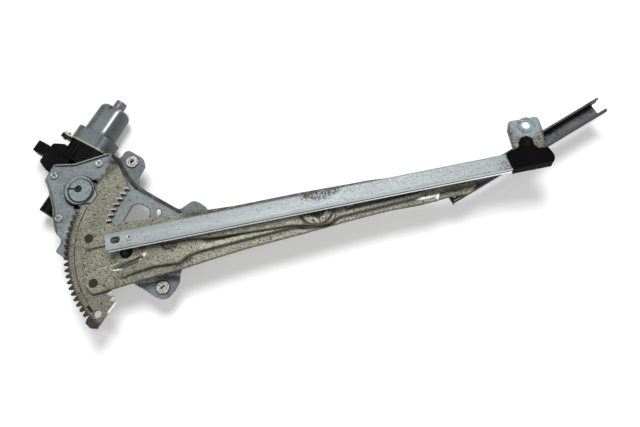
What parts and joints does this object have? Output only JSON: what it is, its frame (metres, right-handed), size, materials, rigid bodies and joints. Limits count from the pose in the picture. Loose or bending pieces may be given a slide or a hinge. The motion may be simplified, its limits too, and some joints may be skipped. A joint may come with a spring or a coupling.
{
  "type": "window regulator",
  "caption": "Power window regulator: crossed scissor arms on a base plate, turned by a toothed sector and worm-gear motor, with shoes that slide in two guide channels.",
  "frame": {"origin": "axis of the main arm's pivot at the top face of the base plate", "axes": "+X along the lift channel from the pivot to the arm's tip, +Y across it in the plate's plane towards the motor, +Z from the plate towards the arms"},
  "size_m": [0.6964, 0.2958, 0.0659],
  "materials": {
    "plate_zinc": "satin grey zinc",
    "nut_zinc": "bright zinc",
    "steel_fastener": "bright zinc",
    "sector_steel": "oiled phosphated steel",
    "arm_zinc": "satin grey zinc",
    "channel_zinc": "bright zinc",
    "channel_grey": "dull grey zinc",
    "shoe_nylon": "natural nylon",
    "pad_black": "matte",
    "housing_black": "moulded satin",
    "can_grey": "zinc plated drawn steel",
    "magnet_ferrite": "matte",
    "bronze": "sintered",
    "copper": "bright",
    "wheel_nylon": "moulded"
  },
  "bodies": {
    "base": {"base_plate": "plate_zinc", "weld_nuts": "nut_zinc", "main_pivot_pin": "steel_fastener", "motor_screws": "steel_fastener", "gear_housing": "housing_black", "gear_cover": "housing_black", "connector_socket": "housing_black", "connector_pins": "copper", "motor_can": "can_grey", "can_screws": "steel_fastener", "magnets": "magnet_ferrite", "brush_holder": "housing_black", "shaft_bushes": "bronze"},
    "main_arm_body": {"main_arm": "arm_zinc", "sector_gear": "sector_steel", "sector_rivets": "steel_fastener", "arm_bush": "steel_fastener", "arm_stud": "steel_fastener"},
    "equalizer_body": {"equalizer_arm_upper": "arm_zinc", "equalizer_arm_lower": "arm_zinc", "cross_pin": "steel_fastener", "upper_stud": "steel_fastener", "lower_stud": "steel_fastener"},
    "arm_shoe_body": {"arm_shoe": "shoe_nylon"},
    "upper_shoe_body": {"upper_shoe": "shoe_nylon"},
    "lower_shoe_body": {"lower_shoe": "shoe_nylon"},
    "lift_channel_body": {"lift_channel": "channel_zinc", "channel_stop": "steel_fastener", "end_bracket": "channel_zinc", "felt_pad": "pad_black"},
    "equalizer_channel_body": {"equalizer_channel": "channel_grey"},
    "pinion_body": {"pinion_shaft": "steel_fastener", "worm_wheel": "wheel_nylon"},
    "armature_body": {"armature_shaft": "steel_fastener", "armature_core": "steel_fastener", "commutator": "copper"}
  },
  "joints": [
    {"name": "main_arm_pivot", "type": "hinge", "parent": "base", "child": "main_arm_body", "pos_m": [0, 0, 0.007], "axis": [0, 0, 1], "range_deg": [-68, 10]},
    {"name": "equalizer_pivot", "type": "hinge", "parent": "main_arm_body", "child": "equalizer_body", "pos_m": [0.17493, 0.0051, 0.007], "axis": [0, 0, 1], "range_deg": [-21, 137]},
    {"name": "arm_shoe_turn", "type": "hinge", "parent": "main_arm_body", "child": "arm_shoe_body", "pos_m": [0.34985, 0.0102, 0.0196], "axis": [0, 0, 1], "range_deg": [-11, 69]},
    {"name": "upper_shoe_turn", "type": "hinge", "parent": "equalizer_body", "child": "upper_shoe_body", "pos_m": [0, 0.0102, 0.0196], "axis": [0, 0, 1], "range_deg": [-69, 11]},
    {"name": "lift_channel_slide", "type": "slide", "parent": "upper_shoe_body", "child": "lift_channel_body", "axis": [1, 0, 0], "range_m": [-0.03, 0.026]},
    {"name": "lower_shoe_turn", "type": "hinge", "parent": "equalizer_body", "child": "lower_shoe_body", "pos_m": [0.34985, 0, -0.0051], "axis": [0, 0, 1], "range_deg": [-88, 20]},
    {"name": "equalizer_channel_slide", "type": "slide", "parent": "lower_shoe_body", "child": "equalizer_channel_body", "axis": [0.9361, 0.3518, 0], "range_m": [-0.065, 0.005]},
    {"name": "pinion_turn", "type": "hinge", "parent": "base", "child": "pinion_body", "pos_m": [-0.10293, 0.09011, 0.002], "axis": [0, 0, 1], "range_deg": [-118, 794]},
    {"name": "armature_turn", "type": "hinge", "parent": "base", "child": "armature_body", "pos_m": [-0.12685, 0.10983, -0.018], "axis": [0.6361, 0.7716, 0], "range_deg": [-47700, 7100]}
  ],
  "couplings": [
    {"joint": "equalizer_pivot", "follows": "main_arm_pivot", "ratio": -2},
    {"joint": "arm_shoe_turn", "follows": "main_arm_pivot", "ratio": -1},
    {"joint": "upper_shoe_turn", "follows": "main_arm_pivot", "ratio": 1},
    {"joint": "pinion_turn", "follows": "main_arm_pivot", "ratio": -11.667},
    {"joint": "armature_turn", "follows": "main_arm_pivot", "ratio": 700}
  ]
}
